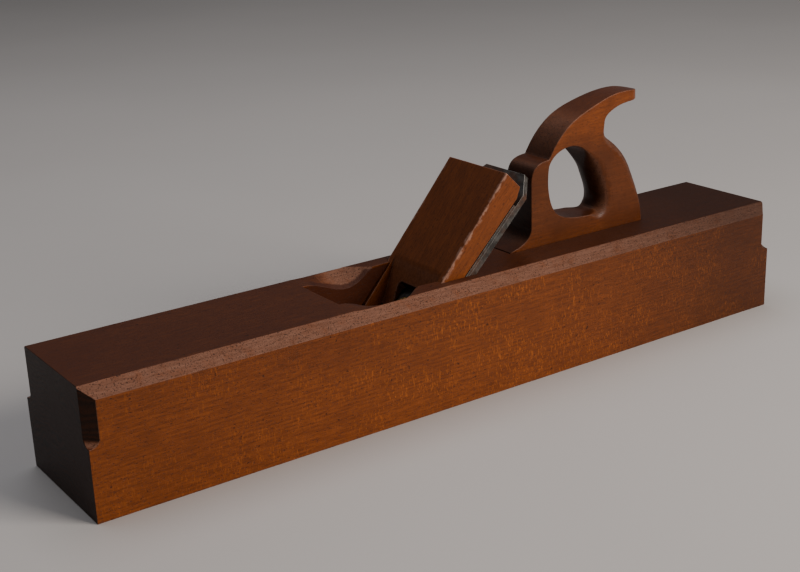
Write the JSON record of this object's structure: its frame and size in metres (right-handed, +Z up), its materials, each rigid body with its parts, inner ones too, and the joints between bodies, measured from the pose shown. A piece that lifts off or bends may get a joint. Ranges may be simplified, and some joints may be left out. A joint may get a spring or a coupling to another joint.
{
  "type": "wooden hand plane",
  "caption": "Long wooden bench plane with a closed, horned handle, a bevelled escapement, and a pronged wedge that holds a double iron on a sloping bed.",
  "frame": {"origin": "centre of the sole, on the surface that the plane stands on", "axes": "+X from toe to heel, +Z up, and +Y across the plane to its right-hand side as a user behind the heel sees it; the plane is symmetric about XZ"},
  "size_m": [0.5588, 0.0952, 0.1808],
  "materials": {
    "stock_beech": "aged, oiled beech with fine dark flecks, worn pale along the chamfers",
    "tote_beech": "aged, hand-polished beech",
    "wedge_beech": "aged dark beech",
    "iron_steel": "old steel, dull brown patina, bright at the worn edges",
    "cap_steel": "old steel, dull patina",
    "boss_brass": "tarnished brass",
    "screw_steel": "dark old steel"
  },
  "bodies": {
    "body": {"stock": "stock_beech", "tote": "tote_beech"},
    "iron": {"cutting_iron": "iron_steel"},
    "cap": {"cap_iron": "cap_steel", "cap_boss": "boss_brass"},
    "screw": {"cap_screw": "screw_steel"},
    "wedge": {"wedge": "wedge_beech"}
  },
  "joints": [
    {"name": "iron_slide", "type": "slide", "parent": "body", "child": "iron", "axis": [0.7071, 0, 0.7071], "range_m": [-0.001, 0.175]},
    {"name": "cap_slide", "type": "slide", "parent": "iron", "child": "cap", "axis": [0.7071, 0, 0.7071], "range_m": [-0.001, 0.055]},
    {"name": "wedge_slide", "type": "slide", "parent": "cap", "child": "wedge", "axis": [0.7071, 0, 0.7071], "range_m": [0, 0.11]},
    {"name": "screw_turn", "type": "hinge", "parent": "cap", "child": "screw", "pos_m": [-0.02612, 0, 0.04888], "axis": [0.7071, 0, -0.7071], "range_deg": [0, 360]}
  ]
}
